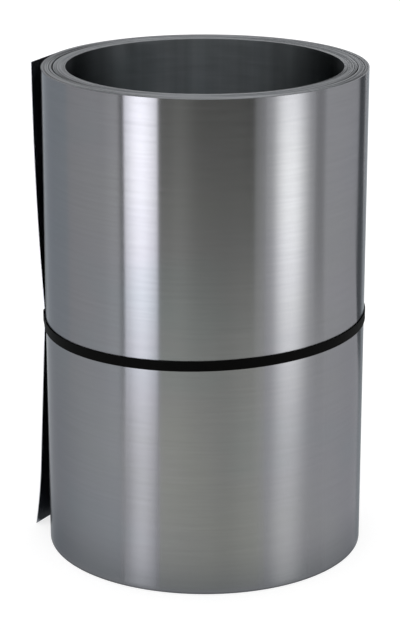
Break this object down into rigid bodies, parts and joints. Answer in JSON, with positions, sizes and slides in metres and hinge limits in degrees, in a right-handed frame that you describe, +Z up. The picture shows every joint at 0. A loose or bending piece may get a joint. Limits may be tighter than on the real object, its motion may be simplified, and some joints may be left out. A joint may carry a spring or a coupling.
{
  "type": "zinc coil",
  "caption": "Coil of grey zinc sheet strip on an open bore, standing on its end and held by one black strap, with its free outer end sprung out at the side.",
  "frame": {"origin": "on the coil's axis, at the face that it stands on", "axes": "+Z up the coil's axis, -X towards the free outer end of the strip, -Y towards the plain front"},
  "size_m": [0.4134, 0.3959, 0.6003],
  "materials": {
    "zinc": "satin",
    "strap": "matt"
  },
  "bodies": {
    "root": {"zinc_coil": "zinc", "strap": "strap"}
  },
  "joints": []
}
